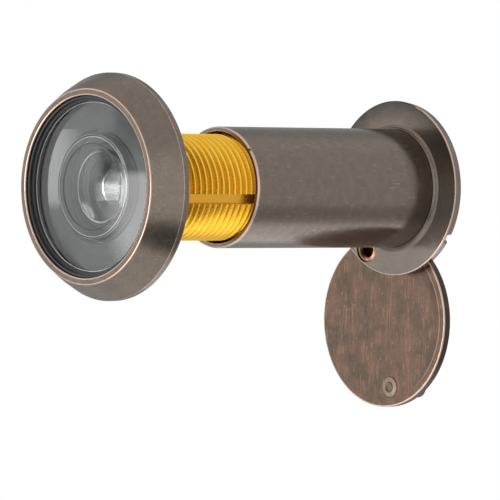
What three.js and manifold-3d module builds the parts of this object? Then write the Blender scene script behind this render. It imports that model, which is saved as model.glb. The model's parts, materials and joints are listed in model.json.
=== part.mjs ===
// Wide-angle door viewer with a swing cover, set for a door 50 mm thick.
// Millimetres, +Z up. The barrel lies along Y: -Y is outside the door, +Y is the room.
// The origin is on the barrel's axis, where the front bezel meets the door's outside face.

import * as THREE from 'three';
import { mergeVertices } from 'three/addons/utils/BufferGeometryUtils.js';
import Module from 'manifold-3d';

const wasm = await Module();
wasm.setup();

// ---- Driving dimensions ----

const doorThickness = 50;
const seatGap = 0.05;            // clearance between pieces that sit in each other
const bigSegments = 48;          // round pieces over 20 mm across, and the sleeve
const lensSegments = 36;
const threadColumns = 24;
const smallSegments = 18;

const bezel = { radius: 14.6, depth: 4.8, edge: 0.95, rimOuter: 12.5, rimInner: 11.65, floor: 1 };
const seal = { inner: 11.25, lipInner: 10.9, front: -4.45, lipFront: -4 };
const objective = { radius: 11.2, apex: -4.35, frontEdge: -3.5, back: -1.3, hollowRadius: 6.3, hollowDepth: 2.3 };
const gasketInner = 8.5;

const barrel = { crest: 6.92, root: 6.4, pitch: 1, end: 31, bore: 5.6, shoulder: 10, lightBore: 5 };
const groove = { width: 1.3, floorRadius: 6.3, start: 0.6, below: 13.7 };   // degrees below +X
const secondLens = { front: -0.3, back: 3.2, domeRadius: 4.85, apex: -2.3, hollowRadius: 4, hollowDepth: 2 };
const thirdLens = { front: 7, back: barrel.shoulder - seatGap, hollowRadius: 4.3, hollowDepth: 1.2 };
const stop = { inner: 3.4, front: 29.6, back: 30.6 };

const sleeve = { outer: 7.9, mouth: 18, mouthBore: 7.25, mouthDepth: 2, bore: 7.05, end: doorThickness + 1.5 };
const seat = { shoulderFront: 46.4, shoulderBack: 47.1, shoulderRadius: 5.2, bore: 6.05 };
const eyepiece = { radius: 5.95, back: 49.6, domeRadius: 5.3, apex: 50.4, ringInner: 4.9, ringBack: 51.3 };

const flange = { radius: 11.65, taperRadius: 11.37, faceRadius: 11, thickness: 1.6 };
const slot = { width: 1.4, floor: doorThickness + 0.4, below: 36.5 };           // degrees below +X

const pivotRadius = 9.65;        // from the barrel's axis, so the closed cover is concentric
const pivotAngle = 33.5;         // degrees from straight down, towards -X
const coverSwing = 7.5;          // degrees that the open cover hangs from straight down, towards +X
const rivet = { bore: 0.95, shank: 1.42, flare: 1.75, headRadius: 1.85, headThickness: 0.5 };
const pivotHole = 1.55;
const counterbore = { radius: 1.82, depth: 0.45 };
const washerThickness = 0.2;

const cover = { radius: 11.6, face: doorThickness + 1.9, edge: 1.1, thickness: 1.5, bevel: 0.6 };
const knob = { fromCentre: 9, tenon: 0.7, tenonHole: 0.75, stem: 0.95, radius: 1.5, length: 4.2, headLength: 2.4 };

const bezelFloor = -bezel.floor;
const flangeBack = doorThickness + flange.thickness;
const coverBack = cover.face + cover.thickness;
const degrees = Math.PI / 180;

// ---- Materials ----

const material = (color, roughness, metalness) => new THREE.MeshStandardMaterial({ color, roughness, metalness });
const bronze = material(0x6b6058, 0.38, 0.9);
const copper = material(0xb98a72, 0.35, 1);
const gold = material(0xe0a830, 0.3, 1);
const blackPlastic = material(0x1c1d1e, 0.6, 0);
const blackRubber = material(0x141414, 0.8, 0);
const glass = material(0xa8adaf, 0.05, 0);
const springSteel = material(0x8c8c8a, 0.35, 1);

// ---- Building tools ----

// A solid turned about Y. Each point is [radius, y]; the outer wall runs towards +Y.
// A profile that doesn't start on the axis is a ring, and closes on itself.
function turned(profile, segments = bigSegments) {
  const points = profile.map(([radius, y]) => new THREE.Vector2(radius, y));
  if (profile[0][0] > 0) points.push(points[0].clone());
  return new THREE.LatheGeometry(points, segments);
}

// A plain tube with square ends.
function tube(inner, outer, front, back, segments = lensSegments) {
  return turned([[outer, front], [outer, back], [inner, back], [inner, front]], segments);
}

// Points of a spherical cap, from its apex on the axis to its rim.
function cap(rimRadius, rimY, apexY, steps = 5) {
  const height = rimY - apexY;
  const sphere = (rimRadius ** 2 + height ** 2) / (2 * height);
  return Array.from({ length: steps + 1 }, (_, i) => {
    const radius = rimRadius * i / steps;
    const rise = Math.abs(sphere) - Math.sqrt(sphere ** 2 - radius ** 2);
    return [radius, apexY + Math.sign(height) * rise];
  });
}

// Turns a closed geometry into a manifold solid, leaving out triangles that merging made empty.
function toSolid(geometry) {
  const bare = geometry.clone();
  bare.deleteAttribute('normal');
  bare.deleteAttribute('uv');
  const merged = mergeVertices(bare);
  const index = merged.index.array;
  const corners = [];
  for (let i = 0; i < index.length; i += 3) {
    const [a, b, c] = [index[i], index[i + 1], index[i + 2]];
    if (a !== b && b !== c && c !== a) corners.push(a, b, c);
  }
  return new wasm.Manifold(new wasm.Mesh({
    numProp: 3,
    vertProperties: new Float32Array(merged.attributes.position.array),
    triVerts: new Uint32Array(corners),
  }));
}

function toGeometry(solid) {
  const mesh = solid.getMesh();
  const geometry = new THREE.BufferGeometry();
  geometry.setAttribute('position', new THREE.BufferAttribute(new Float32Array(mesh.vertProperties), 3));
  geometry.setIndex(new THREE.BufferAttribute(new Uint32Array(mesh.triVerts), 1));
  geometry.computeVertexNormals();
  return geometry;
}

function cut(geometry, ...tools) {
  const solid = tools.reduce((rest, tool) => rest.subtract(toSolid(tool)), toSolid(geometry));
  return toGeometry(solid);
}

function rod(radius, front, back, segments = smallSegments) {
  const geometry = new THREE.CylinderGeometry(radius, radius, back - front, segments);
  return geometry.translate(0, (front + back) / 2, 0);
}

function piece(name, geometry, look, group) {
  const mesh = new THREE.Mesh(geometry, look);
  mesh.name = name;
  group.add(mesh);
}

// ---- Outside half: bezel, front lenses and threaded barrel ----

function frontBezel() {
  return turned([
    [bezel.rimOuter, -bezel.depth],
    [bezel.radius, -bezel.edge],
    [bezel.radius, -0.2],
    [bezel.radius - 0.2, 0],
    [barrel.crest + seatGap + 0.05, 0],
    [barrel.crest + seatGap + 0.05, bezelFloor],
    [bezel.rimInner, bezelFloor],
    [bezel.rimInner, -bezel.depth + 0.1],
    [bezel.rimInner + 0.1, -bezel.depth],
  ]);
}

function lensSealRing() {
  const outer = bezel.rimInner - seatGap;
  const back = bezelFloor - seatGap;
  const lipBack = objective.frontEdge - seatGap;
  return turned([
    [outer, seal.front],
    [outer, back],
    [seal.inner, back],
    [seal.inner, lipBack],
    [seal.lipInner, lipBack],
    [seal.lipInner, seal.lipFront],
    [seal.inner, seal.lipFront],
    [seal.inner, seal.front],
  ]);
}

function objectiveGasket() {
  return tube(gasketInner, objective.radius - 0.1, objective.back + seatGap, bezelFloor - seatGap);
}

function objectiveLens() {
  const hollowApex = objective.back - objective.hollowDepth;
  return turned([
    ...cap(objective.radius, objective.frontEdge, objective.apex),
    [objective.radius, objective.back],
    ...cap(objective.hollowRadius, objective.back, hollowApex).reverse(),
  ], lensSegments);
}

function secondLensRing() {
  const outer = barrel.bore - seatGap;
  return tube(secondLens.domeRadius + seatGap, outer, bezelFloor + seatGap, secondLens.front - seatGap);
}

function secondLensBody() {
  const rim = barrel.bore - seatGap;
  const hollowApex = secondLens.back - secondLens.hollowDepth;
  return turned([
    ...cap(secondLens.domeRadius, secondLens.front, secondLens.apex),
    [rim, secondLens.front],
    [rim, secondLens.back],
    ...cap(secondLens.hollowRadius, secondLens.back, hollowApex).reverse(),
  ], lensSegments);
}

function frontSpacer() {
  const wall = 1;
  const outer = barrel.bore - seatGap;
  return tube(outer - wall, outer, secondLens.back + seatGap, thirdLens.front - seatGap);
}

function thirdLensBody() {
  const rim = barrel.bore - seatGap;
  const hollowApex = thirdLens.back - thirdLens.hollowDepth;
  return turned([
    [0, thirdLens.front],
    [rim, thirdLens.front],
    [rim, thirdLens.back],
    ...cap(thirdLens.hollowRadius, thirdLens.back, hollowApex, 4).reverse(),
  ], lensSegments);
}

// A rod with a right-hand V thread. Rows of points alternate between root and crest, and every
// row climbs one pitch in a turn, so a row's last column joins the first column two rows on.
function threadedRod(start, end) {
  const columns = threadColumns;
  const rows = 2 * Math.ceil((end - start) / barrel.pitch + 2);
  const positions = [];
  for (let row = 0; row < rows; row++) {
    for (let column = 0; column < columns; column++) {
      const turn = column / columns;
      const radius = row % 2 ? barrel.crest : barrel.root;
      const y = start + barrel.pitch * (row / 2 + turn - 1.25);
      positions.push(radius * Math.sin(2 * Math.PI * turn), y, radius * Math.cos(2 * Math.PI * turn));
    }
  }
  const at = (row, column) => (column < columns ? row * columns + column : (row + 2) * columns);
  const frontCentre = rows * columns;
  const backCentre = frontCentre + 1;
  positions.push(0, start - barrel.pitch, 0);
  positions.push(0, start + barrel.pitch * (rows / 2 - 1), 0);

  const faces = [];
  const lastRow = rows - 3;
  for (let column = 0; column < columns; column++) {
    for (let row = 0; row < lastRow; row++) {
      const [a, b] = [at(row, column), at(row, column + 1)];
      const [c, d] = [at(row + 1, column + 1), at(row + 1, column)];
      faces.push(a, b, c, a, c, d);
    }
    faces.push(frontCentre, at(0, column + 1), at(0, column));
    faces.push(backCentre, at(lastRow, column), at(lastRow, column + 1));
  }
  // The step in each end cap, where the last column meets the first two rows on.
  for (const step of [0, 1]) {
    faces.push(frontCentre, at(step, 0), at(step + 1, 0));
    faces.push(backCentre, at(lastRow + step + 1, 0), at(lastRow + step, 0));
  }

  const geometry = new THREE.BufferGeometry();
  geometry.setAttribute('position', new THREE.Float32BufferAttribute(positions, 3));
  geometry.setIndex(faces);
  return geometry;
}

function threadedBarrel() {
  const chamfer = 0.6;
  const clear = 0.5;             // the envelope passes outside the crests, except at its chamfer
  const plainEnd = 0.4;          // the unthreaded collar that sits in the bezel
  const envelope = turned([
    [0, bezelFloor],
    [barrel.crest + clear, bezelFloor],
    [barrel.crest + clear, barrel.end - chamfer - clear],
    [barrel.crest - chamfer, barrel.end],
    [0, barrel.end],
  ], threadColumns);
  const threaded = toSolid(threadedRod(plainEnd, barrel.end)).intersect(toSolid(envelope));
  const collar = rod(barrel.crest, bezelFloor, plainEnd, threadColumns);
  const grooveTool = new THREE.BoxGeometry(2, barrel.end, groove.width);
  grooveTool.translate(groove.floorRadius + 1, groove.start + barrel.end / 2, 0);
  grooveTool.rotateY(groove.below * degrees);
  return cut(
    toGeometry(threaded.add(toSolid(collar))),
    rod(barrel.bore, bezelFloor - 1, barrel.shoulder, lensSegments),
    rod(barrel.lightBore, 0, barrel.end + 1, lensSegments),
    grooveTool,
  );
}

function fieldStop() {
  return tube(stop.inner, barrel.lightBore - seatGap, stop.front, stop.back);
}

// ---- Inside half: sleeve, flange, eyepiece and the cover's pivot ----

// A coin slot across the room side, from rim to rim.
function slotTool() {
  const length = 3 * flange.radius;
  const height = 3;
  const tool = new THREE.BoxGeometry(length, height, slot.width);
  tool.translate(0, slot.floor + height / 2, 0);
  return tool.rotateY(slot.below * degrees);
}

function sleeveTube() {
  const mouthInner = sleeve.mouth + sleeve.mouthDepth;
  const blank = turned([
    [sleeve.outer - 0.15, sleeve.mouth],
    [sleeve.outer, sleeve.mouth + 0.15],
    [sleeve.outer, sleeve.end],
    [seat.bore, sleeve.end],
    [seat.bore, seat.shoulderBack],
    [seat.shoulderRadius, seat.shoulderBack],
    [seat.shoulderRadius, seat.shoulderFront],
    [sleeve.bore, seat.shoulderFront],
    [sleeve.bore, mouthInner],
    [sleeve.mouthBore, mouthInner],
    [sleeve.mouthBore, sleeve.mouth],
  ]);
  return cut(blank, slotTool());
}

function rearFlange() {
  const hub = sleeve.outer + seatGap;
  const blank = turned([
    [flange.radius - 0.1, doorThickness],
    [flange.radius, doorThickness + 0.12],
    [flange.taperRadius, flangeBack - 0.3],
    [flange.faceRadius, flangeBack],
    [hub, flangeBack],
    [hub, doorThickness],
  ]);
  const hole = atPivot(rod(pivotHole, doorThickness - 1, flangeBack + 1));
  const sink = atPivot(rod(counterbore.radius, doorThickness - 1, doorThickness + counterbore.depth));
  return cut(blank, slotTool(), hole, sink);
}

function eyepieceLens() {
  const front = seat.shoulderBack + seatGap;
  return turned([
    [0, front],
    [eyepiece.radius, front],
    [eyepiece.radius, eyepiece.back],
    ...cap(eyepiece.domeRadius, eyepiece.back, eyepiece.apex).reverse(),
  ], lensSegments);
}

function eyepieceRing() {
  const front = eyepiece.back + seatGap;
  return turned([
    [eyepiece.radius, front],
    [eyepiece.radius, eyepiece.ringBack],
    [eyepiece.ringInner, eyepiece.ringBack],
    [eyepiece.domeRadius + seatGap, front],
  ], lensSegments);
}

function atPivot(geometry) {
  const x = -pivotRadius * Math.sin(pivotAngle * degrees);
  const z = -pivotRadius * Math.cos(pivotAngle * degrees);
  return geometry.translate(x, 0, z);
}

function pivotRivet() {
  const flareFront = doorThickness + 0.03;
  const headFront = coverBack + washerThickness + 2 * seatGap;
  const headBack = headFront + rivet.headThickness;
  return atPivot(turned([
    [rivet.flare, flareFront],
    [rivet.flare, flareFront + 0.15],
    [rivet.shank, doorThickness + counterbore.depth],
    [rivet.shank, headFront],
    [rivet.headRadius, headFront],
    [rivet.headRadius, headFront + 0.25],
    [rivet.headRadius - 0.4, headBack],
    [rivet.bore, headBack],
    [rivet.bore, flareFront + 0.3],
    [rivet.bore + 0.25, flareFront],
  ], smallSegments));
}

function washer(front) {
  return atPivot(tube(pivotHole, rivet.headRadius, front, front + washerThickness, smallSegments));
}

// ---- Cover: its group's origin is on the rivet's axis, and its disc lies along -Z from there ----

function coverDisc() {
  const disc = turned([
    [0, cover.face],
    [cover.radius - 0.15, cover.face],
    [cover.radius, cover.face + 0.15],
    [cover.radius, cover.face + cover.edge],
    [cover.radius - cover.bevel, coverBack],
    [0, coverBack],
  ]);
  disc.translate(0, 0, -pivotRadius);
  const tenonHole = rod(knob.tenonHole, cover.face - 1, coverBack + 1);
  tenonHole.translate(0, 0, -pivotRadius - knob.fromCentre);
  return cut(disc, rod(pivotHole, cover.face - 1, coverBack + 1), tenonHole);
}

function coverKnob() {
  const base = coverBack + seatGap;
  const head = base + knob.length - knob.headLength;
  const end = base + knob.length;
  const body = turned([
    [0, cover.face + seatGap],
    [knob.tenon, cover.face + seatGap],
    [knob.tenon, base],
    [knob.stem, base],
    [knob.stem, head],
    [knob.radius, head + 0.3],
    [knob.radius, end - 0.4],
    [knob.radius - 0.4, end],
    [0, end],
  ], smallSegments);
  return body.translate(0, 0, -pivotRadius - knob.fromCentre);
}

// ---- Assembly ----

const viewer = new THREE.Group();

const outsideHalf = new THREE.Group();
piece('front_bezel', frontBezel(), bronze, outsideHalf);
piece('lens_seal_ring', lensSealRing(), blackPlastic, outsideHalf);
piece('objective_gasket', objectiveGasket(), blackRubber, outsideHalf);
piece('objective_lens', objectiveLens(), glass, outsideHalf);
piece('second_lens_ring', secondLensRing(), blackPlastic, outsideHalf);
piece('second_lens', secondLensBody(), glass, outsideHalf);
piece('front_spacer', frontSpacer(), blackPlastic, outsideHalf);
piece('third_lens', thirdLensBody(), glass, outsideHalf);
piece('threaded_barrel', threadedBarrel(), gold, outsideHalf);
piece('field_stop', fieldStop(), blackPlastic, outsideHalf);
viewer.add(outsideHalf);

const insideHalf = new THREE.Group();
piece('sleeve_tube', sleeveTube(), bronze, insideHalf);
piece('rear_flange', rearFlange(), bronze, insideHalf);
piece('eyepiece_lens', eyepieceLens(), glass, insideHalf);
piece('eyepiece_ring', eyepieceRing(), blackPlastic, insideHalf);
piece('pivot_rivet', pivotRivet(), copper, insideHalf);
piece('pivot_washer', washer(flangeBack + seatGap), springSteel, insideHalf);
piece('spring_washer', washer(coverBack + seatGap), springSteel, insideHalf);

const swingCover = new THREE.Group();
swingCover.position.set(
  -pivotRadius * Math.sin(pivotAngle * degrees),
  0,
  -pivotRadius * Math.cos(pivotAngle * degrees),
);
swingCover.rotation.y = -coverSwing * degrees;
piece('cover_disc', coverDisc(), bronze, swingCover);
piece('cover_knob', coverKnob(), bronze, swingCover);
insideHalf.add(swingCover);
viewer.add(insideHalf);

export default viewer;
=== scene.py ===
import json
import math

import bmesh
import bpy
import numpy as np
from mathutils import Matrix, Vector


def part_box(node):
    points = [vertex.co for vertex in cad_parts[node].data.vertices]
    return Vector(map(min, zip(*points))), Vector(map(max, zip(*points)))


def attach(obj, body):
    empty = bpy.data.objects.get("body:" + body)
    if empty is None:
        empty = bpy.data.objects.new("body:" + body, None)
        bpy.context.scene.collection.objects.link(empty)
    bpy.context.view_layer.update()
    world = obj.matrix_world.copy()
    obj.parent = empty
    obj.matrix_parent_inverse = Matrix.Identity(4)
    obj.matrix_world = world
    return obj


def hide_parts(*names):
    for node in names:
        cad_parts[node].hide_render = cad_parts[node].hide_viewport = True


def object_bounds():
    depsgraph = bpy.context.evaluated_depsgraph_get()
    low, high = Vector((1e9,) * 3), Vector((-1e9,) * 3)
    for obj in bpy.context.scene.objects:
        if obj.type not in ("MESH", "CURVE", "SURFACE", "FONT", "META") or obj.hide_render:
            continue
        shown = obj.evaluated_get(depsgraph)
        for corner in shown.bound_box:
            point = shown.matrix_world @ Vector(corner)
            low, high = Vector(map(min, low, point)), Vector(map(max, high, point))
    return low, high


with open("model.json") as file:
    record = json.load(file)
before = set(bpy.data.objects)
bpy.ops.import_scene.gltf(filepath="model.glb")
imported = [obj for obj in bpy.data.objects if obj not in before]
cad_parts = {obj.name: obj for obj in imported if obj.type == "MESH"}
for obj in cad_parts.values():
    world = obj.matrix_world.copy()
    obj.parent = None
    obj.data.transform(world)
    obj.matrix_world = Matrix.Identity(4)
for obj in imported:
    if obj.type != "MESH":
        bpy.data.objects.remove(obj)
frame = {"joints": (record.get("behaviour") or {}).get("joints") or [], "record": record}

cad_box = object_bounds()

# Every profile below is in millimetres; meshes are made in metres.
MM = 0.001
TURN = 2 * math.pi
RECORD = frame["record"]
BODY_OF = {node: body for body, nodes in RECORD["behaviour"]["bodies"].items() for node in nodes}
SLOT_OF = {part["node"]: part["material_slot"] for part in RECORD["subparts"]}

# Columns round a large, a medium and a small turned piece, and points along a fillet and a cap.
FINE, MEDIUM, SMALL = 192, 128, 64
FILLET_STEPS = 6
CAP_STEPS = 20
PAST = 1.0                       # how far a cutting tool reaches past the faces it cuts

# Where two faces meet at more than this angle, the edge between them is shaded sharp.
LENS_SHARP = math.radians(28)
CUT_SHARP = math.radians(32)
THREAD_SHARP = math.radians(38)


def corners_of(node):
    """A CAD node's lowest and highest corner, in millimetres."""
    low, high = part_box(node)
    return low / MM, high / MM


def centre_of(node):
    low, high = corners_of(node)
    return (low + high) / 2


# ---- Camera, floor and light ----

CAMERA_AZIMUTH = math.radians(47.089)
CAMERA_ROLL = math.radians(-0.245)
CAMERA_DISTANCE = 804.9 * MM
CAMERA_LENS = 453.6              # the focal length, for a sensor of this width
SENSOR_WIDTH = 36
AIM_RIGHT = 17.47 * MM           # from the frame's origin, as the camera sees it
AIM_DOWN = 8.07 * MM
FLOOR_DROP = 45 * MM             # below the lowest point of the part
FLOOR_RADIUS = 0.78
FLOOR_MIDDLE_Y = 0.025
KEY_PLACE = Vector((0.25, -0.55, 0.55))   # in metres
KEY_TARGET = Vector((0, 0.02, 0))
KEY_SIZE = 0.45
KEY_POWER = 3


def camera_directions():
    """The camera's right, up and backward directions."""
    right = Vector((math.cos(CAMERA_AZIMUTH), math.sin(CAMERA_AZIMUTH), 0))
    forward = Vector((-math.sin(CAMERA_AZIMUTH), math.cos(CAMERA_AZIMUTH), 0))
    up = right.cross(forward)
    cosine, sine = math.cos(CAMERA_ROLL), math.sin(CAMERA_ROLL)
    return cosine * right + sine * up, cosine * up - sine * right, -forward


def add_camera():
    right, up, back = camera_directions()
    data = bpy.data.cameras.new("camera")
    data.sensor_width = SENSOR_WIDTH
    data.lens = CAMERA_LENS
    data.clip_start = 0.05
    data.clip_end = 20
    camera = bpy.data.objects.new("camera", data)
    bpy.context.scene.collection.objects.link(camera)
    place = right * AIM_RIGHT - up * AIM_DOWN + back * CAMERA_DISTANCE
    turn = Matrix((right, up, back)).transposed().to_4x4()
    camera.matrix_world = Matrix.Translation(place) @ turn
    bpy.context.scene.camera = camera


def add_key_light():
    data = bpy.data.lights.new("key", "AREA")
    data.shape = "RECTANGLE"
    data.size = data.size_y = KEY_SIZE
    data.energy = KEY_POWER
    key = bpy.data.objects.new("key", data)
    bpy.context.scene.collection.objects.link(key)
    key.location = KEY_PLACE
    key.rotation_euler = (KEY_TARGET - KEY_PLACE).to_track_quat("-Z", "Y").to_euler()
    key.visible_glossy = False


# The light tent round the part: where each patch of it lies, how many degrees from its middle it
# is full and where it ends, and its brightness. Later patches cover earlier ones.
TENT_BRIGHTNESS = 0.85
TENT_PATCHES = (
    ((-0.73, 0.68, 0.15), 25, 55, 0.40),
    ((0.97, -0.25, 0.0), 15, 40, 1.22),
    ((-0.73, -0.68, 0.45), 18, 40, 0.95),
    ((-0.64, -0.73, 0.25), 4, 8, 0.0),
    ((-0.58, -0.79, 0.21), 4, 8, 0.0),
    ((-0.13, -0.79, -0.60), 10, 28, 2.10),
    ((-0.93, -0.37, 0.0), 8, 30, 0.95),
    ((-0.77, -0.60, 0.20), 7, 12, 1.30),
    ((0.10, 0.10, -1.0), 20, 45, 1.15),
    ((-0.15, 0.68, -0.72), 11, 24, 1.55),
    ((0.48, 0.56, -0.60), 8, 18, 0.50),
    ((0.65, -0.17, -0.74), 8, 17, 0.25),
)
LOW_PATCH = ((-0.43, -0.90, -0.05), 11, 20, 5.6)      # covers the rest, and ends at the horizon
HORIZON = 0.045                  # the height of a direction's tip, from -1 to 1
HORIZON_BLUR = 0.01


def tent_mask(tree, direction, middle, inner, outer):
    """1 within inner degrees of the middle direction, falling to 0 at outer degrees."""
    near = tree.nodes.new("ShaderNodeVectorMath")
    near.operation = "DOT_PRODUCT"
    near.inputs[1].default_value = Vector(middle).normalized()
    tree.links.new(direction, near.inputs[0])
    fade = tree.nodes.new("ShaderNodeMapRange")
    fade.interpolation_type = "SMOOTHSTEP"
    fade.inputs["From Min"].default_value = math.cos(math.radians(outer))
    fade.inputs["From Max"].default_value = math.cos(math.radians(inner))
    tree.links.new(near.outputs["Value"], fade.inputs["Value"])
    return fade.outputs["Result"]


def below_horizon(tree, direction):
    """1 below the horizon and 0 above it."""
    parts = tree.nodes.new("ShaderNodeSeparateXYZ")
    tree.links.new(direction, parts.inputs["Vector"])
    edge = tree.nodes.new("ShaderNodeMapRange")
    edge.inputs["From Min"].default_value = HORIZON + HORIZON_BLUR
    edge.inputs["From Max"].default_value = HORIZON - HORIZON_BLUR
    tree.links.new(parts.outputs["Z"], edge.inputs["Value"])
    return edge.outputs["Result"]


def cover_with(tree, brightness, mask, level):
    """The brightness, a number or a socket, with level laid over it where the mask is 1."""
    mix = tree.nodes.new("ShaderNodeMix")
    mix.inputs["B"].default_value = level
    tree.links.new(mask, mix.inputs["Factor"])
    if isinstance(brightness, bpy.types.NodeSocket):
        tree.links.new(brightness, mix.inputs["A"])
    else:
        mix.inputs["A"].default_value = brightness
    return mix.outputs["Result"]


def tent_brightness(tree, direction):
    brightness = TENT_BRIGHTNESS
    for *patch, level in TENT_PATCHES:
        brightness = cover_with(tree, brightness, tent_mask(tree, direction, *patch), level)
    *patch, level = LOW_PATCH
    cut = tree.nodes.new("ShaderNodeMath")
    cut.operation = "MULTIPLY"
    tree.links.new(tent_mask(tree, direction, *patch), cut.inputs[0])
    tree.links.new(below_horizon(tree, direction), cut.inputs[1])
    return cover_with(tree, brightness, cut.outputs["Value"], level)


def add_world():
    """White where the camera sees it, and a soft light tent where the part is lit by it."""
    world = bpy.data.worlds.new("studio")
    bpy.context.scene.world = world
    world.use_nodes = True
    tree = world.node_tree
    tree.nodes.clear()
    output = tree.nodes.new("ShaderNodeOutputWorld")
    mix = tree.nodes.new("ShaderNodeMixShader")
    path = tree.nodes.new("ShaderNodeLightPath")
    seen = tree.nodes.new("ShaderNodeBackground")
    seen.inputs["Color"].default_value = (1, 1, 1, 1)
    tent = tree.nodes.new("ShaderNodeBackground")
    tent.inputs["Color"].default_value = (1, 1, 1, 1)
    direction = tree.nodes.new("ShaderNodeTexCoord").outputs["Generated"]
    link = tree.links.new
    link(tent_brightness(tree, direction), tent.inputs["Strength"])
    link(path.outputs["Is Camera Ray"], mix.inputs["Fac"])
    link(tent.outputs["Background"], mix.inputs[1])
    link(seen.outputs["Background"], mix.inputs[2])
    link(mix.outputs["Shader"], output.inputs["Surface"])


# ---- Node building ----

class Surface:
    """A material that is being built: short calls that add one node each."""

    def __init__(self, name):
        self.material = bpy.data.materials.new(name)
        self.material.use_nodes = True
        self.tree = self.material.node_tree
        self.shader = self.tree.nodes["Principled BSDF"]
        self.place = self.tree.nodes.new("ShaderNodeTexCoord").outputs["Object"]

    def feed(self, socket, value):
        if isinstance(value, bpy.types.NodeSocket):
            self.tree.links.new(value, socket)
        elif value is not None:
            socket.default_value = value

    def set(self, **values):
        for name, value in values.items():
            self.feed(self.shader.inputs[name.replace("_", " ")], value)

    def scaled(self, stretch):
        """The piece's own coordinates in metres, multiplied along X, Y and Z."""
        mapping = self.tree.nodes.new("ShaderNodeMapping")
        mapping.inputs["Scale"].default_value = stretch
        self.feed(mapping.inputs["Vector"], self.place)
        return mapping.outputs["Vector"]

    def noise(self, size_mm, detail=3, rough=0.5, place=None):
        """Noise from 0 to 1 whose blotches are about size_mm across."""
        node = self.tree.nodes.new("ShaderNodeTexNoise")
        node.inputs["Scale"].default_value = 1 / (size_mm * MM)
        node.inputs["Detail"].default_value = detail
        node.inputs["Roughness"].default_value = rough
        self.feed(node.inputs["Vector"], place or self.place)
        return node.outputs["Fac"]

    def ramp(self, value, low, high, to_low=0.0, to_high=1.0):
        """Value mapped from low..high to to_low..to_high, smoothly and clamped."""
        node = self.tree.nodes.new("ShaderNodeMapRange")
        node.interpolation_type = "SMOOTHSTEP"
        self.feed(node.inputs["Value"], value)
        node.inputs["From Min"].default_value = low
        node.inputs["From Max"].default_value = high
        node.inputs["To Min"].default_value = to_low
        node.inputs["To Max"].default_value = to_high
        return node.outputs["Result"]

    def maths(self, operation, first, second=None):
        node = self.tree.nodes.new("ShaderNodeMath")
        node.operation = operation
        self.feed(node.inputs[0], first)
        self.feed(node.inputs[1], second)
        return node.outputs["Value"]

    def mix(self, factor, first, second):
        """Colour first where factor is 0 and second where it is 1."""
        node = self.tree.nodes.new("ShaderNodeMix")
        node.data_type = "RGBA"
        self.feed(node.inputs["Factor"], factor)
        for socket, colour in ((node.inputs["A"], first), (node.inputs["B"], second)):
            self.feed(socket, colour if isinstance(colour, bpy.types.NodeSocket) else (*colour, 1))
        return node.outputs["Result"]

    def attribute(self, name):
        node = self.tree.nodes.new("ShaderNodeAttribute")
        node.attribute_name = name
        return node.outputs["Fac"]

    def bump(self, height, depth_mm):
        node = self.tree.nodes.new("ShaderNodeBump")
        node.inputs["Distance"].default_value = depth_mm * MM
        self.feed(node.inputs["Height"], height)
        self.feed(self.shader.inputs["Normal"], node.outputs["Normal"])


# ---- Materials ----

COPPER = (0.60, 0.43, 0.35)
MATT_GREY = (0.115, 0.115, 0.115)         # matt, mixed in by its attribute: where a piece is bare, and as painted light on the flange's lower door face


def bronze_material():
    """Grey-brown and mottled, flecked and scratched with copper, and worn to copper on its edges."""
    look = Surface("oil_rubbed_bronze")
    mottle = look.ramp(look.noise(1.1, detail=6, rough=0.75), 0.32, 0.68)
    colour = look.mix(mottle, (0.162, 0.135, 0.113), (0.198, 0.161, 0.131))
    flecks = look.ramp(look.noise(0.20, detail=3), 0.58, 0.68)
    patches = look.ramp(look.noise(1.9, detail=4), 0.47, 0.62, 0.06, 0.5)
    colour = look.mix(look.maths("MULTIPLY", flecks, patches), colour, (0.42, 0.27, 0.20))
    scratched = look.noise(0.22, detail=1, place=look.scaled((1, 0.16, 1)))
    scratches = look.ramp(scratched, 0.66, 0.72, 0, 0.4)
    colour = look.mix(scratches, colour, (0.38, 0.27, 0.21))
    # Painted shade and painted reflection: the flange's upper door face and the bevel's dark patch are
    # darkened here.
    colour = look.mix(look.attribute("patina_and_shade"), colour, (0.035, 0.033, 0.030))
    wear_and_light = look.attribute("wear_and_light")
    ragged = look.maths("MULTIPLY", wear_and_light, look.ramp(look.noise(0.9, detail=4), 0.2, 0.6, 0.75, 1.2))
    colour = look.mix(look.ramp(ragged, 0.2, 0.9), colour, COPPER)
    # Matt grey where a piece is bare. On the flange's lower door face this is painted light.
    matt_and_painted_light = look.attribute("matt_and_painted_light")
    colour = look.mix(matt_and_painted_light, colour, MATT_GREY)
    look.set(Base_Color=colour, Metallic=look.ramp(matt_and_painted_light, 0, 1, 0.92, 0.0))
    gloss = look.ramp(look.noise(0.6, detail=6, rough=0.7), 0.3, 0.7, 0.15, 0.27)
    look.set(Roughness=look.maths("MAXIMUM", gloss, look.maths("MULTIPLY", matt_and_painted_light, 0.5)))
    look.bump(look.noise(0.20, detail=4, rough=0.6), 0.003)
    return look.material


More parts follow.
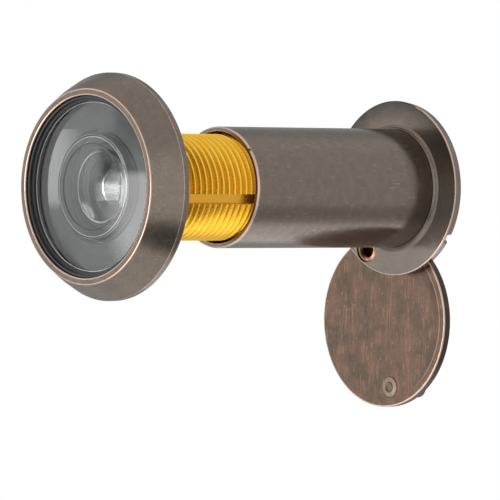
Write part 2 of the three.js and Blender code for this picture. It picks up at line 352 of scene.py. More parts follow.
def cover_material():
    """The cover's bronze: redder, brushed up and down, with dark streaks and a little verdigris."""
    look = Surface("brushed_bronze")
    brushed = look.scaled((1, 1, 0.08))
    streaks = look.noise(0.24, detail=5, rough=0.75, place=brushed)
    mottle = look.ramp(look.noise(3.2, detail=7, rough=0.75), 0.34, 0.66)
    colour = look.mix(mottle, (0.088, 0.066, 0.049), (0.144, 0.090, 0.065))
    rubbed = look.maths("MULTIPLY", look.ramp(streaks, 0.46, 0.66), look.ramp(look.noise(1.8), 0.42, 0.60))
    colour = look.mix(look.maths("MULTIPLY", rubbed, 0.5), colour, (0.33, 0.195, 0.135))
    dark = look.maths("MULTIPLY", look.ramp(streaks, 0.48, 0.32), look.ramp(look.noise(2.9), 0.45, 0.60))
    colour = look.mix(look.maths("MULTIPLY", dark, 0.7), colour, (0.05, 0.035, 0.028))
    flecks = look.ramp(look.noise(0.22, detail=3, place=look.scaled((1, 1, 0.4))), 0.64, 0.72, 0, 0.4)
    colour = look.mix(flecks, colour, (0.48, 0.29, 0.19))
    colour = look.mix(look.attribute("patina_and_shade"), colour, (0.030, 0.024, 0.022))
    colour = look.mix(look.attribute("verdigris"), colour, (0.10, 0.16, 0.075))
    wear_and_light = look.maths("MAXIMUM", look.attribute("wear_and_light"), look.attribute("rub"))
    colour = look.mix(look.ramp(wear_and_light, 0.2, 0.9), colour, COPPER)
    look.set(Base_Color=colour, Metallic=0.9)
    look.set(Roughness=look.ramp(streaks, 0.3, 0.7, 0.34, 0.5))
    look.bump(streaks, 0.006)
    return look.material


def copper_material():
    look = Surface("bare_copper")
    tarnish_and_shade = look.ramp(look.noise(0.6, detail=4), 0.35, 0.65)
    colour = look.mix(tarnish_and_shade, (0.55, 0.28, 0.17), (0.30, 0.15, 0.09))
    # Painted shade: dark in the rivet's bore and on its -X side.
    colour = look.mix(look.attribute("patina_and_shade"), colour, (0.02, 0.012, 0.008))
    look.set(Base_Color=colour, Metallic=1.0)
    look.set(Roughness=look.ramp(look.noise(0.3, detail=3), 0.3, 0.7, 0.2, 0.35))
    return look.material


def gold_material():
    """Gold-coloured brass, with painted shade in the thread's roots and a painted highlight on its crests.
    Its bore and its collar are matt grey.
    """
    look = Surface("gold_brass")
    cloud = look.ramp(look.noise(1.4, detail=5), 0.3, 0.7)
    colour = look.mix(cloud, (0.82, 0.44, 0.022), (0.90, 0.53, 0.038))
    # Painted shade: the thread's roots are a darker, deeper orange.
    colour = look.mix(look.attribute("tarnish_and_shade"), colour, (0.68, 0.32, 0.008))
    # Painted highlight: the thread's crests are a brighter gold.
    colour = look.mix(look.attribute("wear_and_light"), colour, (1.0, 0.66, 0.10))
    # Painted shade: the milled groove's floor is darker.
    colour = look.mix(look.attribute("milled_groove_shade"), colour, (0.74, 0.38, 0.035))
    matt_and_painted_light = look.attribute("matt_and_painted_light")
    colour = look.mix(matt_and_painted_light, colour, MATT_GREY)
    look.set(Base_Color=colour, Metallic=look.ramp(matt_and_painted_light, 0, 1, 0.84, 0.0))
    gloss = look.ramp(look.noise(0.5, detail=4), 0.3, 0.7, 0.22, 0.32)
    look.set(Roughness=look.maths("MAXIMUM", gloss, look.maths("MULTIPLY", matt_and_painted_light, 0.5)))
    return look.material


def black_material(name, level, gloss):
    """Black or dark grey plastic and rubber, a little paler where it is bare."""
    look = Surface(name)
    shade = look.ramp(look.noise(0.8, detail=4), 0.3, 0.7)
    colour = look.mix(shade, (level, level, level), (level * 1.3, level * 1.3, level * 1.3))
    colour = look.mix(look.attribute("matt_and_painted_light"), colour, (0.13, 0.13, 0.13))
    look.set(Base_Color=colour)
    look.set(Roughness=look.ramp(look.noise(0.3, detail=3), 0.3, 0.7, gloss, gloss + 0.1))
    look.bump(look.noise(0.15, detail=2), 0.001)
    return look.material


def glass_material():
    """Polished glass, with a trace of haze."""
    look = Surface("polished_glass")
    look.set(Base_Color=(0.96, 0.98, 0.98, 1), Transmission_Weight=1.0, IOR=1.52)
    look.set(Roughness=look.ramp(look.noise(1.5, detail=3), 0.4, 0.8, 0.0, 0.015))
    return look.material


def ground_material(name, level):
    """A lens's ground or blackened edge, or a pale ring of painted highlight. Painted shade takes it to
    dark grey.
    """
    look = Surface(name)
    grain = look.ramp(look.noise(0.2, detail=3), 0.35, 0.65)
    colour = look.mix(grain, (level * 0.85,) * 3, (level * 1.1,) * 3)
    colour = look.mix(look.attribute("patina_and_shade"), colour, (0.10, 0.10, 0.10))
    look.set(Base_Color=colour, Roughness=0.6)
    return look.material


def steel_material():
    look = Surface("dark_spring_steel")
    shade = look.ramp(look.noise(0.7, detail=4), 0.3, 0.7)
    look.set(Base_Color=look.mix(shade, (0.26, 0.25, 0.24), (0.42, 0.40, 0.38)), Metallic=1.0)
    look.set(Roughness=look.ramp(look.noise(0.25), 0.3, 0.7, 0.3, 0.45))
    return look.material


MATERIALS = {
    "bronze": bronze_material(),
    "cover_bronze": cover_material(),
    "copper": copper_material(),
    "gold": gold_material(),
    "lens_glass": glass_material(),
    "black_plastic": black_material("matt_black", 0.012, 0.32),
    "black_rubber": black_material("grey_gasket", 0.080, 0.45),
    "spring_steel": steel_material(),
}
# Pale rings that are painted highlights on the lenses.
HIGHLIGHT_RING = ground_material("painted_highlight_ring", 0.8)
GROUND_SIDE = ground_material("ground_glass_side", 0.26)
BLACKENED = ground_material("blackened_glass_line", 0.03)


# ---- Mesh building ----

def rounded(corners, closed):
    """A profile with rounded corners, as rows of (radius, y, wear).

    Each corner is (radius, y), (radius, y, fillet) or (radius, y, fillet, wear width, wear). A
    rounded corner is flanked by two points on its straight neighbours, where shading and wear stop."""
    points = []
    for i, corner in enumerate(corners):
        radius, y, fillet, spread, worn = (*corner, 0, 0, 0)[:5]
        here = np.array((radius, y), float)
        on_end = not closed and i in (0, len(corners) - 1)
        if not fillet or on_end:
            points.append((radius, y, 0.0))
            continue
        arms = []
        for other in (corners[i - 1], corners[(i + 1) % len(corners)]):
            arm = np.array(other[:2], float) - here
            arms.append((arm / np.linalg.norm(arm), np.linalg.norm(arm)))
        half = 0.5 * math.acos(max(-1, min(1, float(arms[0][0] @ arms[1][0]))))
        reach = min(fillet / math.tan(half), *(0.45 * length for _, length in arms))
        ends = [here + direction * reach for direction, _ in arms]
        guards = [here + arm * min(reach + max(spread, 0.04), 0.49 * length) for arm, length in arms]
        points.append((*guards[0], 0.0))
        for step in range(FILLET_STEPS + 1):
            t = step / FILLET_STEPS
            spot = (1 - t) ** 2 * ends[0] + 2 * t * (1 - t) * here + t ** 2 * ends[1]
            points.append((*spot, worn))
        points.append((*guards[1], 0.0))
    return points


def cap(rim_radius, rim_y, apex_y, extra=()):
    """Points of a spherical cap, from its apex on the axis to its rim, with extra radii if any."""
    height = rim_y - apex_y
    sphere = (rim_radius ** 2 + height ** 2) / (2 * abs(height))
    points = []
    even = [rim_radius * step / CAP_STEPS for step in range(CAP_STEPS + 1)]
    for radius in sorted([*even, *extra]):
        rise = sphere - math.sqrt(sphere ** 2 - radius ** 2)
        points.append((radius, apex_y + math.copysign(rise, height)))
    return points


def new_piece(name, vertices, faces, wear_and_light=None):
    """A closed mesh object from vertices in millimetres, cleaned, with its faces pointing out."""
    mesh = bpy.data.meshes.new(name)
    mesh.from_pydata([Vector(v) * MM for v in vertices], [], faces)
    if wear_and_light is not None:
        mesh.attributes.new("wear_and_light", "FLOAT", "POINT").data.foreach_set("value", wear_and_light)
    work = bmesh.new()
    work.from_mesh(mesh)
    bmesh.ops.remove_doubles(work, verts=work.verts, dist=1e-7)
    bmesh.ops.dissolve_degenerate(work, edges=work.edges, dist=1e-8)
    bmesh.ops.recalc_face_normals(work, faces=work.faces)
    work.to_mesh(mesh)
    work.free()
    mesh.shade_smooth()
    piece = bpy.data.objects.new(name, mesh)
    bpy.context.scene.collection.objects.link(piece)
    return piece


def turned(name, corners, columns=FINE, closed=True, centre=(0, 0), wave=None):
    """A solid turned about a line along Y through centre (x, z). Closed profiles are rings."""
    profile = rounded(corners, closed)
    vertices, wear_and_light, rows = [], [], []
    for radius, y, worn in profile:
        first = len(vertices)
        spokes = 1 if radius == 0 else columns
        for column in range(spokes):
            angle = TURN * column / columns
            lift = wave(angle) if wave else 0
            x, z = centre[0] + radius * math.sin(angle), centre[1] + radius * math.cos(angle)
            vertices.append((x, y + lift, z))
            wear_and_light.append(worn)
        rows.append((first, spokes))
    faces = []
    pairs = list(zip(rows, rows[1:])) + ([(rows[-1], rows[0])] if closed else [])
    for (first, spokes), (second, other_spokes) in pairs:
        for column in range(columns):
            after = (column + 1) % columns
            if spokes == 1:
                faces.append((first, second + column, second + after))
            elif other_spokes == 1:
                faces.append((first + column, second, first + after))
            else:
                faces.append((first + column, second + column, second + after, first + after))
    return new_piece(name, vertices, faces, wear_and_light)


def drill(name, radius, start, end, centre):
    """A round tool along Y in millimetres, for cutting with."""
    return turned(name, [(0, start), (radius, start), (radius, end), (0, end)], SMALL, False, centre)


def block(name, size, place, angle_about_y):
    """A box in millimetres, for cutting with."""
    work = bmesh.new()
    bmesh.ops.create_cube(work, size=MM)
    turn = Matrix.Rotation(angle_about_y, 4, "Y") @ Matrix.Translation(Vector(place) * MM)
    bmesh.ops.transform(work, matrix=turn @ Matrix.Diagonal((*size, 1)), verts=work.verts)
    mesh = bpy.data.meshes.new(name)
    work.to_mesh(mesh)
    work.free()
    tool = bpy.data.objects.new(name, mesh)
    bpy.context.scene.collection.objects.link(tool)
    return tool


def carved(piece, *tools):
    """Cuts the tools out of the piece and leaves its new edges sharp."""
    for tool in tools:
        modifier = piece.modifiers.new("cut", "BOOLEAN")
        modifier.operation = "DIFFERENCE"
        modifier.solver = "EXACT"
        modifier.object = tool
    apply_modifiers(piece)
    for tool in tools:
        bpy.data.objects.remove(tool)
    piece.data.set_sharp_from_angle(angle=CUT_SHARP)


def apply_modifiers(piece):
    """Makes what the piece's modifiers give into its own mesh."""
    bpy.context.view_layer.update()
    evaluated = piece.evaluated_get(bpy.context.evaluated_depsgraph_get())
    mesh = bpy.data.meshes.new_from_object(evaluated)
    piece.modifiers.clear()
    piece.data = mesh


def paint(piece, name, amount):
    """Stores amount(x, y, z), in millimetres, for every vertex as the named attribute."""
    values = [amount(*(vertex.co / MM)) for vertex in piece.data.vertices]
    layers = piece.data.attributes
    layer = layers.get(name) or layers.new(name, "FLOAT", "POINT")
    layer.data.foreach_set("value", values)


def scale_wear(piece, share):
    """Multiplies the wear that the profile gave by share(x, y, z), in millimetres."""
    worn = piece.data.attributes["wear_and_light"].data
    for vertex, value in zip(piece.data.vertices, worn):
        value.value *= share(*(vertex.co / MM))


def smooth(value, low, high):
    """0 at low and 1 at high, eased at both. Low may be the larger of the two."""
    share = max(0.0, min(1.0, (value - low) / (high - low)))
    return share * share * (3 - 2 * share)


def grind(piece, look, *strips):
    """Gives the look to faces whose middle lies within a strip of radius and y."""
    piece.data.materials.append(look)
    for face in piece.data.polygons:
        middle = face.center / MM
        radius = math.hypot(middle.x, middle.z)
        for inner, outer, front, back in strips:
            if inner < radius < outer and front < middle.y < back:
                face.material_index = len(piece.data.materials) - 1


def install(piece, node):
    """Gives the piece the material of its node's slot, puts it on the node's body and hides the node's CAD
    part.
    """
    piece.data.materials.clear()
    piece.data.materials.append(MATERIALS[SLOT_OF[node]])
    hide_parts(node)
    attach(piece, BODY_OF[node])


# ---- Threads ----

PITCH = 1.0
CREST_Y = 0.65                   # where the barrel's thread has a crest at the top of its front turn
# Rows of points for one turn: how far along the pitch each lies from the crest's middle, and how
# high it stands between the root (0) and the crest (1).
THREAD_PROFILE = (
    (-0.06, 1.0), (0.06, 1.0), (0.12, 0.88), (0.24, 0.53), (0.36, 0.18),
    (0.44, 0.02), (0.56, 0.02), (0.64, 0.18), (0.76, 0.53), (0.88, 0.88),
)
THREAD_STEPS = len(THREAD_PROFILE)


def thread_rows(start, end, root, crest, end_radii):
    """Rows of (radius, rise) for a thread from start to end: each climbs one pitch in a turn.

    Each row is a function of the share of a turn. It stays within start and end, where the
    thread's radius is given by end_radii, so rows beyond the ends fall together."""
    first_crest = CREST_Y - PITCH * math.ceil((CREST_Y - start) / PITCH + 1.1)

    def row(k):
        along, rise = THREAD_PROFILE[k % THREAD_STEPS]
        base = first_crest + PITCH * (k // THREAD_STEPS + along)
        radius = root + (crest - root) * rise

        def point(turn):
            y = base + PITCH * turn
            if y <= start:
                return end_radii[0], start
            if y >= end:
                return end_radii[1], end
            return radius, y
        return point
    pitches = math.ceil((end - first_crest) / PITCH + 0.1)
    return [row(k) for k in range(THREAD_STEPS * pitches + 1)]


def threaded(name, helical, plain, turns, shape=None):
    """A closed piece whose surface is a thread followed by plain rounds of (radius, y)."""
    rows = helical + [lambda turn, spot=spot: spot for spot in plain]
    columns = len(turns)
    vertices = []
    for row in rows:
        for turn in turns:
            radius, y = row(turn)
            if shape:
                radius = shape(radius, y, turn)
            angle = TURN * turn
            vertices.append((radius * math.sin(angle), y, radius * math.cos(angle)))

    def at(row, column):
        """A vertex's number. After a full turn, a helical row meets the row one pitch further on."""
        if column == columns:
            column = 0
            if row < len(helical):
                row = min(row + THREAD_STEPS, len(helical) - 1)
        return row * columns + column
    faces = []
    for row in range(len(rows)):
        after = (row + 1) % len(rows)
        for column in range(columns):
            corners = (at(row, column), at(after, column), at(after, column + 1), at(row, column + 1))
            faces.append(tuple(dict.fromkeys(corners)))      # without repeated corners
    return new_piece(name, vertices, [f for f in faces if len(f) > 2])


# ---- Outside half ----

BEZEL_LOW, BEZEL_HIGH = corners_of("front_bezel")
RIM_OUTER, RIM_INNER = 12.5, 11.65
BEZEL_FLOOR = -1.0
BARREL_HOLE = 7.02
# Where the bevel's painted dark reflection lies.
DARK_PATCH_ANGLE = 118           # in degrees from +Z towards +X


def add_bezel():
    radius, front = BEZEL_HIGH.x, BEZEL_LOW.y
    edge = -0.95
    bevel_swell = ((RIM_OUTER + radius) / 2 + 0.10, (front + edge) / 2)
    piece = turned("front_bezel_turned", [
        (RIM_OUTER, front, 0.16, 0.04, 0.9),
        (*bevel_swell, 1.5),
        (radius, edge, 0.14, 0.03, 0.6),
        (radius, 0, 0.2),
        (BARREL_HOLE, 0, 0.1),
        (BARREL_HOLE, BEZEL_FLOOR, 0.1),
        (RIM_INNER, BEZEL_FLOOR, 0.1),
        (RIM_INNER, front, 0.16, 0.04, 1.0),
    ])
    # Painted reflection: a dark patch low on the bevel.
    paint(piece, "patina_and_shade", bezel_dark_reflection)
    paint(piece, "matt_and_painted_light", lambda x, y, z: float(y > -2 and math.hypot(x, z) < RIM_INNER - 0.02))
    install(piece, "front_bezel")


def bezel_dark_reflection(x, y, z):
    """A painted dark reflection: a darker patch low on the bevel's +X side."""
    away = abs(math.degrees(math.atan2(x, z)) - DARK_PATCH_ANGLE)
    return 0.4 * (1 - smooth(away, 4, 14)) * smooth(math.hypot(x, z), 12.7, 13.1)


def add_seal():
    low, high = corners_of("lens_seal_ring")
    outer, inner, lip = high.x, 11.25, 10.92
    lip_back, lip_front = -3.55, -4.0
    piece = turned("lens_seal_moulded", [
        (outer, low.y, 0.08),
        (outer, high.y, 0.08),
        (inner, high.y, 0.05),
        (inner, lip_back, 0.05),
        (lip, lip_back, 0.08),
        (lip, lip_front, 0.16),
        (inner, lip_front, 0.05),
        (inner, low.y, 0.12),
    ])
    install(piece, "lens_seal_ring")


def add_gasket():
    low, high = corners_of("objective_gasket")
    inner = BARREL_HOLE + 0.2
    piece = turned("objective_gasket_cut", [
        (high.x, low.y, 0.05), (high.x, high.y, 0.05), (inner, high.y, 0.05), (inner, low.y, 0.05),
    ], MEDIUM)
    install(piece, "objective_gasket")


def add_objective():
    low, high = corners_of("objective_lens")
    radius, edge, back = high.x, -3.5, high.y
    well, ledge, roof_rim, roof = 6.6, 5.55, -3.0, -3.6
    # A thin ring on the front face, which is given the painted highlight look below.
    glint = (10.77, 10.83)
    profile = cap(radius - 0.12, edge - 0.02, low.y, glint)
    profile += [(radius, edge + 0.06), (radius, back - 0.1), (radius - 0.1, back)]
    profile += [(well + 0.1, back), (well + 0.06, roof_rim + 0.16), (well, roof_rim + 0.06)]
    profile += [(well - 0.20, roof_rim - 0.05), (well - 0.30, roof_rim - 0.06)]
    profile += [(ledge, roof_rim - 0.17), (ledge - 0.09, roof_rim - 0.18)]
    profile += cap(ledge - 0.11, roof_rim - 0.19, roof)[::-1]
    piece = turned("objective_lens_ground", profile, closed=False)
    piece.data.set_sharp_from_angle(angle=LENS_SHARP)
    install(piece, "objective_lens")
    # Painted highlights: the ring on the front face and the double circle at the well's rim.
    grind(piece, HIGHLIGHT_RING, (*glint, low.y, edge),
          (well, well + 0.06, roof_rim, roof_rim + 0.16),
          (well - 0.30, well - 0.20, roof_rim - 0.06, roof_rim - 0.04))
    grind(piece, BLACKENED, (ledge - 0.09, ledge, roof_rim - 0.19, roof_rim - 0.16))
    grind(piece, GROUND_SIDE, (radius - 0.05, radius + 0.1, edge + 0.06, back),
          (well + 0.06, well + 0.11, roof_rim, back))


def add_second_lens():
    low, high = corners_of("second_lens")
    rim, dome, dome_edge, shoulder = high.x, 4.85, -1.7, -0.3
    hollow, hollow_depth = 4.0, 2
    profile = cap(dome - 0.36, dome_edge - 0.04, low.y)
    profile += [(dome - 0.10, dome_edge + 0.04), (dome - 0.02, dome_edge + 0.12), (dome, dome_edge + 0.25)]
    profile += [(dome, shoulder), (rim - 0.08, shoulder), (rim, shoulder + 0.08), (rim, high.y)]
    profile += cap(hollow, high.y, high.y - hollow_depth)[::-1]
    piece = turned("second_lens_ground", profile, MEDIUM, closed=False)
    piece.data.set_sharp_from_angle(angle=LENS_SHARP)
    # Painted shade: the pale ring at the dome's edge is darker towards +X.
    paint(piece, "patina_and_shade", lambda x, y, z: smooth(x + 0.3 * z, -2.5, 2.5))
    install(piece, "second_lens")
    # Painted highlight: a pale ring at the dome's edge.
    grind(piece, HIGHLIGHT_RING, (dome - 0.36, dome - 0.10, dome_edge - 0.1, dome_edge + 0.1))


def add_third_lens():
    low, high = corners_of("third_lens")
    hollow, hollow_depth = 4.3, 1.2
    profile = [(0, low.y), (high.x - 0.1, low.y), (high.x, low.y + 0.1), (high.x, high.y)]
    profile += cap(hollow, high.y, high.y - hollow_depth)[::-1]
    piece = turned("third_lens_ground", profile, MEDIUM, closed=False)
    piece.data.set_sharp_from_angle(angle=LENS_SHARP)
    install(piece, "third_lens")


def add_plain_ring(name, node, inner, matt_and_painted_light=0.0):
    low, high = corners_of(node)
    fillet = 0.06
    piece = turned(name, [
        (high.x, low.y, fillet), (high.x, high.y, fillet), (inner, high.y, fillet), (inner, low.y, fillet),
    ], MEDIUM)
    paint(piece, "matt_and_painted_light", lambda x, y, z: matt_and_painted_light)
    install(piece, node)


GROOVE_TURN = (90 + 13.7) / 360          # from +Z towards +X
GROOVE_HALF = 5.45 / 360
GROOVE_FLOOR = 6.3
GROOVE_START = 0.6
GROOVE_WALL = 0.12 / 360                 # the share of a turn that each wall takes
BARREL_COLUMNS = 144


def groove_turns():
    """Shares of a turn: even columns, and closer ones across the milled groove."""
    even = [k / BARREL_COLUMNS for k in range(BARREL_COLUMNS)]
    special = [GROOVE_TURN + GROOVE_HALF * share for share in (-0.7, -0.35, 0, 0.35, 0.7)]
    for side in (-1, 1):
        special += [GROOVE_TURN + side * (GROOVE_HALF + offset) for offset in (0, GROOVE_WALL)]
    clear = GROOVE_HALF + 2 * GROOVE_WALL
    return sorted([t for t in even if abs(t - GROOVE_TURN) > clear] + special)


def add_barrel():
    low, high = corners_of("threaded_barrel")
    crest, root, end = 6.92, 6.40, high.y
    front_bore, rear_bore, shoulder = 5.6, 5.0, 10.0
    chamfer = 0.6

    def shape(radius, y, turn):
        """The chamfer at the room end and the milled groove, which leave the bore alone."""
        if radius < root - chamfer:
            return radius
        radius = min(radius, crest - max(0, y - (end - chamfer)))
        if abs(turn - GROOVE_TURN) <= GROOVE_HALF + 1e-6 and y > GROOVE_START:
            radius = min(radius, GROOVE_FLOOR / math.cos(TURN * (turn - GROOVE_TURN)))
        return radius

    helical = thread_rows(0.4, end, root, crest, (root, crest - chamfer))
    plain = [
        (rear_bore + 0.1, end), (rear_bore, end - 0.1), (rear_bore, shoulder),
        (front_bore, shoulder), (front_bore, low.y + 0.1), (front_bore + 0.1, low.y),
        (crest - 0.1, low.y), (crest, low.y + 0.1), (crest, 0.3), (root, 0.38),
    ]
    piece = threaded("barrel_threaded", helical, plain, groove_turns(), shape)
    paint(piece, "matt_and_painted_light", lambda x, y, z: float(y < 0.2 or math.hypot(x, z) < front_bore + 0.3))
    # Painted highlight on the thread's crests.
    paint(piece, "wear_and_light", lambda x, y, z: float(math.hypot(x, z) > crest - 0.03 and y > 0.5))
    # Painted shade, darkest at the thread's roots.
    paint(piece, "tarnish_and_shade", lambda x, y, z: smooth(math.hypot(x, z), crest - 0.02, root + 0.05))
    # Painted shade on the milled groove's floor.
    paint(piece, "milled_groove_shade", lambda x, y, z: float(math.hypot(x, z) < root - 0.03))
    piece.data.set_sharp_from_angle(angle=THREAD_SHARP)
    install(piece, "threaded_barrel")


# ---- Inside half ----

SLEEVE_LOW, SLEEVE_HIGH = corners_of("sleeve_tube")
SLEEVE_RADIUS = SLEEVE_HIGH.x
FLANGE_LOW, FLANGE_HIGH = corners_of("rear_flange")
FLANGE_RADIUS = 11.65
DOOR_FACE = FLANGE_LOW.y
SLOT_WIDTH = 1.4
SLOT_FLOOR = DOOR_FACE + 0.4
SLOT_BELOW = math.radians(36.5)
NICK_ANGLE = math.radians(52)    # a small nick in the mouth's edge, from +Z towards +X
NICK_SIZE = (0.34, 0.4, 0.24)
COVER_JOINT = next(j for j in frame["joints"] if j["name"] == "cover_swing")
PIVOT = (COVER_JOINT["pos_m"][0] / MM, COVER_JOINT["pos_m"][2] / MM)
RIVET_HOLE = 1.55
SINK_RADIUS, SINK_DEPTH = 1.82, 0.45     # round the rivet's flared end, in the flange's door face


def slot_tool():
    length, height = 40, 3
    return block("slot_tool", (length, height, SLOT_WIDTH), (0, SLOT_FLOOR + height / 2, 0), SLOT_BELOW)


def add_sleeve():
    mouth, end = SLEEVE_LOW.y, SLEEVE_HIGH.y
    bore, mouth_bore, seat_bore, shoulder_bore = 7.05, 7.25, 6.05, 5.2
    thread_start, thread_end = mouth + 2, 44.0
    crest, root = 6.47, 7.03         # the crests of this internal thread point inwards
    shoulder, seat = 46.4, 47.1
    helical = thread_rows(thread_start, thread_end, crest, root, (bore, bore))
    plain = [
        (bore, shoulder), (shoulder_bore, shoulder), (shoulder_bore, seat), (seat_bore, seat),
        (seat_bore, end - 0.08), (seat_bore + 0.08, end),
        (SLEEVE_RADIUS - 0.06, end), (SLEEVE_RADIUS, end - 0.06),
        (SLEEVE_RADIUS, mouth + 0.45), (SLEEVE_RADIUS, mouth + 0.22),
        (SLEEVE_RADIUS - 0.05, mouth + 0.08), (SLEEVE_RADIUS - 0.14, mouth), (SLEEVE_RADIUS - 0.2, mouth),
        (mouth_bore + 0.16, mouth), (mouth_bore + 0.1, mouth), (mouth_bore, mouth + 0.1),
        (mouth_bore, thread_start - 0.1), (bore, thread_start),
    ]
    piece = threaded("sleeve_turned", helical, plain, [k / FINE for k in range(FINE)])
    # Copper wear on the mouth's edges, and painted light in its bore.
    paint(piece, "wear_and_light", lambda x, y, z: mouth_wear_and_light(math.hypot(x, z), y - mouth))
    nick = block("nick_tool", NICK_SIZE, (SLEEVE_RADIUS, mouth, 0), NICK_ANGLE - math.pi / 2)
    carved(piece, slot_tool(), nick)
    install(piece, "sleeve_tube")


def mouth_wear_and_light(radius, depth):
    """Copper wear shows on the mouth's two edges, and less on its end face. Copper in the first 3 mm of
    its bore is painted light that brightens the bore.
    """
    if radius < 7.3:
        return 0.6 if depth < 3 else 0.0
    if depth > 0.25:
        return 0.0
    return 0.8 if radius > 7.73 or radius < 7.38 else 0.15


def add_flange():
    back = FLANGE_HIGH.y
    hub = SLEEVE_RADIUS + 0.05
    fillet_end = DOOR_FACE - 0.55            # the fillet that joins the sleeve to the door face
    piece = turned("rear_flange_turned", [
        (FLANGE_RADIUS, DOOR_FACE, 0.13, 0.05, 1.0),
        (FLANGE_RADIUS - 0.22, back - 0.35, 0.15),
        (11.0, back, 0.3),
        (hub, back, 0.05),
        (hub, fillet_end, 0.02),
        (hub + 0.08, fillet_end, 0.06),
        (hub + 0.22, DOOR_FACE - 0.24, 0.03),
        (hub + 0.30, DOOR_FACE - 0.22, 0.03),
        (hub + 0.50, DOOR_FACE, 0.08),
    ])
    scale_wear(piece, flange_wear)
    # Painted light: the lower part of the door face is mixed towards matt grey, so it shows lighter.
    paint(piece, "matt_and_painted_light", lambda x, y, z: 0.3 * smooth(z, 7, -2) * float(y < DOOR_FACE + 0.05))
    # Painted shade on the upper part of the door face.
    paint(piece, "patina_and_shade", flange_painted_shade)
    hole = drill("hole_tool", RIVET_HOLE, DOOR_FACE - PAST, back + PAST, PIVOT)
    sink = drill("sink_tool", SINK_RADIUS, DOOR_FACE - PAST, DOOR_FACE + SINK_DEPTH, PIVOT)
    carved(piece, slot_tool(), hole, sink)
    install(piece, "rear_flange")


def flange_painted_shade(x, y, z):
    """Painted shade: darker towards the top of the face that meets the door."""
    beyond_ring = smooth(math.hypot(x, z), SLEEVE_RADIUS + 0.55, SLEEVE_RADIUS + 0.75)
    return 0.85 * smooth(z - 0.1 * x, -1, 8) * beyond_ring * float(y < DOOR_FACE + 0.05)


def flange_wear(x, y, z):
    """The edge is least rubbed at its top, towards -X."""
    return 1 - 0.9 * smooth(z - 0.9 * x, 3, 10)


def add_eyepiece():
    low, high = corners_of("eyepiece_lens")
    rim_y, dome = 49.6, 5.3
    profile = [(0, low.y), (high.x - 0.1, low.y), (high.x, low.y + 0.1), (high.x, rim_y)]
    profile += cap(dome, rim_y, high.y)[::-1]
    lens = turned("eyepiece_lens_ground", profile, MEDIUM, closed=False)
    lens.data.set_sharp_from_angle(angle=LENS_SHARP)
    install(lens, "eyepiece_lens")
    low, high = corners_of("eyepiece_ring")
    opening, hold = 4.9, 5.35
    ring = turned("eyepiece_ring_turned", [
        (high.x, low.y, 0.05), (high.x, high.y, 0.08), (opening, high.y, 0.2), (hold, low.y, 0.05),
    ], MEDIUM)
    install(ring, "eyepiece_ring")


def add_rivet():
    low, high = corners_of("pivot_rivet")
    bore, shank, flare, head = 0.95, 1.42, 1.75, 1.85
    piece = turned("pivot_rivet_formed", [
        (flare - 0.25, low.y, 0.12),
        (flare, low.y + 0.1, 0.1),
        (flare, low.y + 0.2, 0.05),
        (shank, low.y + 0.42, 0.05),
        (shank, high.y - 0.5, 0.05),
        (head, high.y - 0.5, 0.1),
        (head - 0.05, high.y - 0.2, 0.15),
        (head - 0.5, high.y, 0.2),
        (bore, high.y, 0.15),
        (bore, low.y + 0.35, 0.2),
        (bore + 0.35, low.y, 0.15),
    ], SMALL, centre=PIVOT)
    # Painted shade on the rivet's bore and its -X side.
    paint(piece, "patina_and_shade", lambda x, y, z: rivet_painted_shade(x - PIVOT[0], z - PIVOT[1], bore))
    install(piece, "pivot_rivet")


def rivet_painted_shade(x, z, bore):
    """Painted shade: dark in the bore, and darker on the side towards -X."""
    if math.hypot(x, z) < bore + 0.12:
        return 0.9
    return 0.55 * smooth(-x - 0.3 * z, -0.2, 1.2)


def add_washer(name, node, ripple):
    """A washer on the pivot, which waves up and down by ripple three times round."""
    low, high = corners_of(node)
    outer, inner, fillet = 1.84, 1.56, 0.04
    piece = turned(name, [
        (outer, low.y + ripple, fillet), (outer, high.y - ripple, fillet),
        (inner, high.y - ripple, fillet), (inner, low.y + ripple, fillet),
    ], SMALL, centre=PIVOT, wave=lambda angle: ripple * math.sin(3 * angle))
    install(piece, node)


# ---- Cover ----

COVER_LOW, COVER_HIGH = corners_of("cover_disc")
COVER_FACE, COVER_BACK = COVER_LOW.y, COVER_HIGH.y
COVER_CENTRE = centre_of("cover_disc")
KNOB_CENTRE = centre_of("cover_knob")
TENON_HOLE = 0.75
RUB_RING = (0.85, 1.05)          # a rubbed ring on the cover's face, in from its rim
DARK_RING = (1.1, 2.0)           # a darker band inside it


def add_cover():
    radius = (COVER_HIGH.x - COVER_LOW.x) / 2
    face, back, edge = COVER_FACE, COVER_BACK, 1.1
    piece = turned("cover_disc_stamped", [
        (0, face),
        (radius - 2.6, face),
        (radius - 1.5, face),
        (radius - 1.15, face),
        (radius - 0.95, face),
        (radius - 0.8, face),
        (radius, face, 0.14, 0.07, 1.0),
        (radius, face + edge, 0.18),
        (radius - 0.6, back, 0.5),
        (0, back),
    ], closed=False, centre=(COVER_CENTRE.x, COVER_CENTRE.z))

    def inset(x, z):
        return radius - math.hypot(x - COVER_CENTRE.x, z - COVER_CENTRE.z)

    def right_half(x):
        return smooth(x - COVER_CENTRE.x, 3, 9)

    def rub(x, y, z):
        on_ring = y < face + 0.01 and RUB_RING[0] < inset(x, z) < RUB_RING[1]
        return 0.55 * float(on_ring) * right_half(x)

    def patina_and_shade(x, y, z):
        if y > face + 0.1:
            return 0.65 * float(inset(x, z) < 0.05)
        return 0.3 * float(DARK_RING[0] < inset(x, z) < DARK_RING[1]) * right_half(x)

    paint(piece, "rub", rub)
    paint(piece, "patina_and_shade", patina_and_shade)
    hole = drill("hole_tool", RIVET_HOLE, face - PAST, back + PAST, PIVOT)
    tenon = drill("tenon_tool", TENON_HOLE, face - PAST, back + PAST, (KNOB_CENTRE.x, KNOB_CENTRE.z))
    carved(piece, hole, tenon)
    install(piece, "cover_disc")


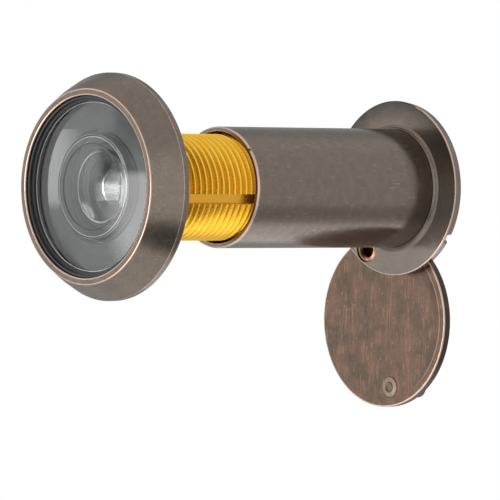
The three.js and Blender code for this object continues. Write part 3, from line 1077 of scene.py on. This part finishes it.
def add_knob():
    """The knob on the room side, with a tenon through the cover and peened over on its face."""
    face, base = COVER_FACE, COVER_BACK + 0.05
    end = corners_of("cover_knob")[1].y
    head = end - 2.4
    piece = turned("cover_knob_turned", [
        (0, face - 0.02),
        (0.45, face - 0.03, 0.1),
        (0.75, face - 0.16, 0.15),
        (1.30, face - 0.13, 0.15),
        (1.45, face - 0.01, 0.03),
        (0.72, face + 0.01, 0.01),
        (0.72, base, 0.02),
        (0.95, base, 0.04),
        (0.95, head, 0.1),
        (1.5, head + 0.3, 0.2),
        (1.5, end - 0.4, 0.3),
        (1.1, end, 0.2),
        (0, end),
    ], SMALL, closed=False, centre=(KNOB_CENTRE.x, KNOB_CENTRE.z))
    paint(piece, "verdigris", lambda x, y, z: tenon_green(x - KNOB_CENTRE.x, y - face, z - KNOB_CENTRE.z))
    paint(piece, "wear_and_light", lambda x, y, z: tenon_wear(x - KNOB_CENTRE.x, y - face, z - KNOB_CENTRE.z))
    paint(piece, "patina_and_shade", lambda x, y, z: 0.5 * float(y > base))
    install(piece, "cover_knob")


def tenon_green(x, depth, z):
    """Verdigris lies in the dent round the tenon's middle, mostly to one side."""
    return 0.9 * smooth(x - z, -0.2, 0.5) * float(depth < 0 and math.hypot(x, z) < 0.72)


def tenon_wear(x, depth, z):
    """The raised lip of the tenon is rubbed bright."""
    return 0.42 * float(depth < 0.0 and 0.74 < math.hypot(x, z) < 1.4)


# ---- Assembly ----

def add_floor():
    bottom = cad_box[0][2]
    work = bmesh.new()
    bmesh.ops.create_circle(work, cap_ends=True, radius=FLOOR_RADIUS, segments=96)
    mesh = bpy.data.meshes.new("floor")
    work.to_mesh(mesh)
    work.free()
    floor = bpy.data.objects.new("floor", mesh)
    floor.location = (0, FLOOR_MIDDLE_Y, bottom - FLOOR_DROP)
    bpy.context.scene.collection.objects.link(floor)
    look = Surface("pale_floor")
    grain = look.ramp(look.noise(4, detail=3), 0.3, 0.7)
    look.set(Base_Color=look.mix(grain, (0.86, 0.86, 0.86), (0.88, 0.88, 0.88)), Roughness=0.8)
    mesh.materials.append(look.material)
    floor.visible_glossy = False         # polished metal mirrors the tent, not the floor


def main():
    bpy.context.scene.view_settings.view_transform = "Standard"
    add_camera()
    add_world()
    add_key_light()
    add_floor()
    add_bezel()
    add_seal()
    add_gasket()
    add_objective()
    add_plain_ring("second_lens_ring_turned", "second_lens_ring", 4.92, 1.0)
    add_second_lens()
    add_plain_ring("front_spacer_turned", "front_spacer", 4.55)
    add_third_lens()
    add_barrel()
    add_plain_ring("field_stop_turned", "field_stop", 3.4)
    add_sleeve()
    add_flange()
    add_eyepiece()
    add_rivet()
    add_washer("pivot_washer_cut", "pivot_washer", 0)
    add_washer("wave_washer", "spring_washer", 0.03)
    add_cover()
    add_knob()


main()
